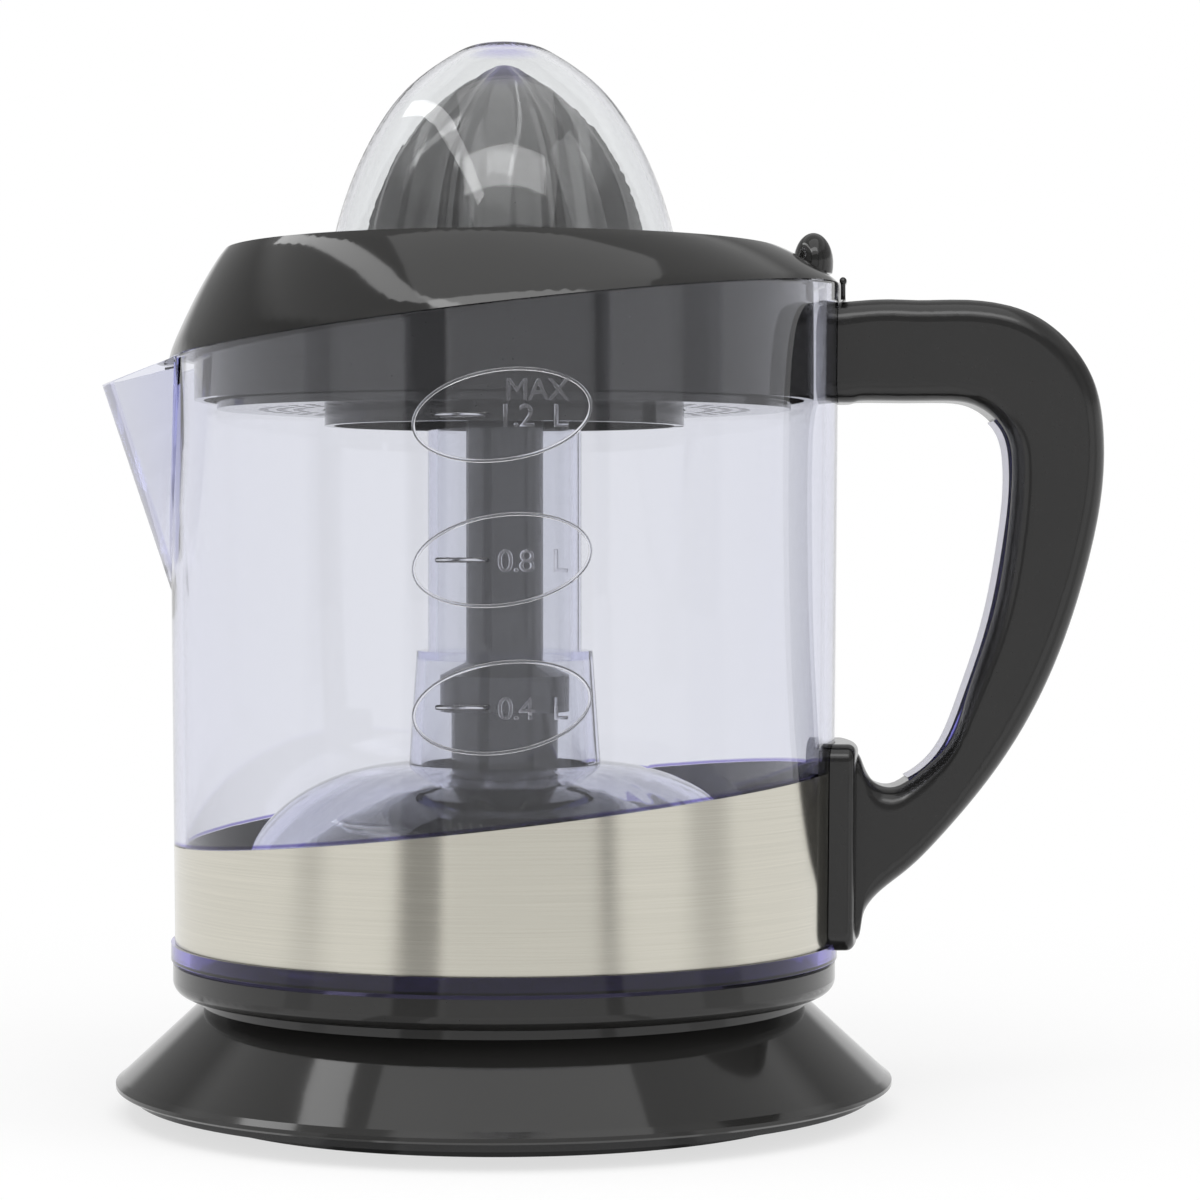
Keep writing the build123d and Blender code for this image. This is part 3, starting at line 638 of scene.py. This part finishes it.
def buildRimHook():
    form = bmesh.new()
    radius, thick, bead = rimHook["radius"], rimHook["thick"], rimHook["bead"]
    low, high, steps = rimHook["low"], rimHook["high"], rimHook["steps"]
    beadSteps, overturn = rimHook["beadSteps"], rimHook["overturn"]
    profile = [(0.0, low), (0.0, high - bead)]
    for step in range(beadSteps + 1):
        angle = pi + overturn - (pi + 2 * overturn) * step / beadSteps
        profile.append((thick / 2 + bead * cos(angle), high + bead * sin(angle)))
    profile += [(thick, high - bead), (thick, low)]
    profile = [(radius + out, z) for out, z in profile]
    rows = []
    for step in range(steps + 1):
        turn = radians(rimHook["halfAngle"] * (2 * step / steps - 1))
        rows.append([form.verts.new((r * cos(turn), r * sin(turn), z)) for r, z in profile])
    skinInto(form, rows)
    pieceFrom(meshFrom(form, "rimHook"), "rim_hook", "jar", "charcoalGloss")


buildRimHook()
print("rim hook: on the handle's arm")

# Spring that lifts the spindle again
returnSpring = {
    "radius": 0.0062,
    "wire": 0.0005,
    "turns": 5,
    "low": 0.0426,
    "high": 0.0568,
    "seat": (0.0, 0.0, 0.0574),  # under the spindle's collar
    "keep": 0.838,  # of its length when pressed
}


def buildReturnSpring():
    form = bmesh.new()
    count, sides = 200, 10
    radius, wire, turns = returnSpring["radius"], returnSpring["wire"], returnSpring["turns"]
    low, rise = returnSpring["low"], returnSpring["high"] - returnSpring["low"]
    aroundWire = [2 * pi * k / sides for k in range(sides)]
    rows = []
    for step in range(count + 1):
        angle = 2 * pi * turns * step / count
        middle = Vector((radius * cos(angle), radius * sin(angle), low + rise * step / count))
        outward = Vector((cos(angle), sin(angle), 0.0))
        along = Vector((-sin(angle), cos(angle), rise / (2 * pi * turns * radius))).normalized()
        across = outward.cross(along)
        ring = [outward * cos(turn) + across * sin(turn) for turn in aroundWire]
        rows.append([form.verts.new(middle + side * wire) for side in ring])
    skinInto(form, rows)
    mesh = meshFrom(form, "returnSpring")
    spring = pieceFrom(mesh, "return_spring_wire", "drive", "turnedSteel")
    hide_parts("return_spring")
    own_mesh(spring)


buildReturnSpring()
print("return spring:", returnSpring["turns"], "turns")

# Studio
studio = {
    "lens": 106.3,
    "sensor": 36.0,
    "eye": (0.0205, -0.762, 0.1216),
    "pitch": -0.97,
    "near": 0.02,
    "surround": 0.72,  # light from the white room
    "walls": 0.88,  # what gloss sees of the room, by the rise of its ray
    "below": (-0.6, 0.1, 0.25),  # darker by this much under the walls
    "ceiling": (0.25, 0.85, 0.52),
    "dusk": (0.14, 0.24, 0.50, 0.62, 0.6),  # darker belt between the screens and the ceiling
    "gapsClose": (0.45, 0.75),  # the gaps end overhead
    "gaps": (  # between the white screens: bearing from the front and half width in degrees, depth
        (-25.0, 7.0, 0.66),
        (8.0, 24.0, 0.17),
        (34.5, 2.6, 0.60),
        (-64.0, 5.0, 0.25),
        (72.0, 8.0, 0.30),
    ),
    "floorSize": 3.0,
    "floorDrop": 0.0002,
    "floorTones": ((0.93, 0.93, 0.93, 1.0), (0.96, 0.96, 0.96, 1.0)),
    "floorGrain": (6.0, 3.0),
    "floorGlow": 0.68,
    "shadowEnds": (0.14, 0.42),  # only the floor near the base takes a shadow
    "lamps": (  # place, aim, width, height, watts, seen in gloss
        ((-0.41, -0.12, 0.78), (0.0, 0.0, 0.15), 1.35, 0.08, 0.9, True),
        ((0.90, -0.40, 0.70), (0.0, 0.0, 0.12), 0.50, 1.00, 2.0, False),
        ((0.06, -0.42, 1.05), (0.0, 0.0, 0.15), 1.05, 1.30, 3.2, True),
        ((0.02, -0.64, 0.92), (0.0, 0.0, 0.18), 0.90, 0.24, 1.6, True),
    ),
}


def lightPathMask(board):  # 1 for what the camera, gloss and clear pieces look at
    rays = board.ray("Is Camera Ray") + board.ray("Is Glossy Ray") + board.ray("Is Transmission Ray")
    return rays.maths("MINIMUM", 1.0)


def screenGaps(board, across, depth):  # how bright the screens look by bearing
    bearing = across.maths("ARCTAN2", depth * -1.0) * (180.0 / pi)
    soft = 1.0  # degrees
    bright = 1.0
    for middle, half, depthOfGap in studio["gaps"]:
        gap = 1.0 - board.ramp((bearing - middle).maths("ABSOLUTE"), half - soft, half + soft)
        bright = (1.0 - gap * depthOfGap) * bright
    return bright


def buildWorld():
    scene.world = bpy.data.worlds.new("whiteRoom")
    board = Board(scene.world, "ShaderNodeOutputWorld")
    through, glossy = board.ray("Is Transmission Ray"), board.ray("Is Glossy Ray")
    seen = (board.ray("Is Camera Ray") + through).maths("MINIMUM", 1.0)
    behind = through * board.ray("Glossy Depth").maths("MINIMUM", 1.0)
    across, depth, rise = board.axes(board.node("ShaderNodeTexCoord", pick="Generated"))
    walls = studio["walls"]
    low, high, drop = studio["below"]
    mirror = board.ramp(rise, low, high) * drop + (walls - drop)
    low, high, ceiling = studio["ceiling"]
    mirror = mirror - board.ramp(rise, low, high) * (walls - ceiling)
    fadeIn, full, fadeOut, over, darker = studio["dusk"]
    belt = board.ramp(rise, fadeIn, full) * (1.0 - board.ramp(rise, fadeOut, over))
    mirror = mirror * (1.0 - belt * darker)
    dim = (1.0 - board.ramp(rise, *studio["gapsClose"])) * (1.0 - screenGaps(board, across, depth))
    mirror = mirror * (1.0 - dim)
    white = 1.0 - behind * dim  # gloss behind clear pieces shows the gaps too
    strength = seen * white + (1 - seen) * (glossy * mirror + (1 - glossy) * studio["surround"])
    board.done(board.node("ShaderNodeBackground", {}, {"Color": (1.0, 1.0, 1.0, 1.0), "Strength": strength}))


def buildFloor():
    form = bmesh.new()
    bmesh.ops.create_grid(form, x_segments=8, y_segments=8, size=studio["floorSize"])
    mesh = bpy.data.meshes.new("floor")
    form.to_mesh(mesh)
    form.free()
    floor = bpy.data.objects.new("floor", mesh)
    scene.collection.objects.link(floor)
    floor.location.z = -studio["floorDrop"]
    board = Board(bpy.data.materials.new("paleFloor"))
    tone = board.tint(board.noise(*studio["floorGrain"]), *studio["floorTones"])
    paper = board.node("ShaderNodeBsdfDiffuse", {}, {"Color": tone})
    glow = board.node("ShaderNodeEmission", {}, {"Color": (1.0, 1.0, 1.0, 1.0), "Strength": 1.0})
    dark = board.node("ShaderNodeEmission", {}, {"Color": (0.0, 0.0, 0.0, 1.0), "Strength": 0.0})
    x, y = board.axes()[:2]
    mirrored = board.ray("Is Glossy Ray") * (1.0 - board.ray("Is Transmission Ray"))
    dim = mirrored * (1.0 - screenGaps(board, x, y) * studio["walls"])
    glow = board.node("ShaderNodeMixShader", {}, {0: dim, 1: glow, 2: dark})  # gaps across the floor
    spot = board.node("ShaderNodeVectorMath", {"operation": "LENGTH"}, {0: board.place()}, pick="Value")
    far = board.ramp(spot, *studio["shadowEnds"])
    share = lightPathMask(board) * (studio["floorGlow"] + far * (1.0 - studio["floorGlow"]))
    mesh.materials.append(board.done(board.node("ShaderNodeMixShader", {}, {0: share, 1: paper, 2: glow})))


def buildLamps():
    for number, (place, aim, width, height, watts, mirrored) in enumerate(studio["lamps"]):
        lamp = bpy.data.lights.new(f"softbox{number}", "AREA")
        lamp.shape = "RECTANGLE"
        lamp.size = width
        lamp.size_y = height
        lamp.energy = watts
        holder = bpy.data.objects.new(f"softbox{number}", lamp)
        holder.location = place
        holder.visible_glossy = mirrored
        holder.rotation_euler = (Vector(aim) - Vector(place)).to_track_quat("-Z", "Y").to_euler()
        scene.collection.objects.link(holder)


def buildCamera():
    data = bpy.data.cameras.new("viewCamera")
    data.sensor_width = studio["sensor"]
    data.lens = studio["lens"]
    data.clip_start = studio["near"]
    camera = bpy.data.objects.new("viewCamera", data)
    camera.location = studio["eye"]
    camera.rotation_euler = (radians(90 + studio["pitch"]), 0.0, 0.0)
    scene.collection.objects.link(camera)
    scene.camera = camera


buildWorld()
buildFloor()
buildLamps()
buildCamera()
print("studio: room, floor, lamps and camera")

bpy.context.view_layer.update()
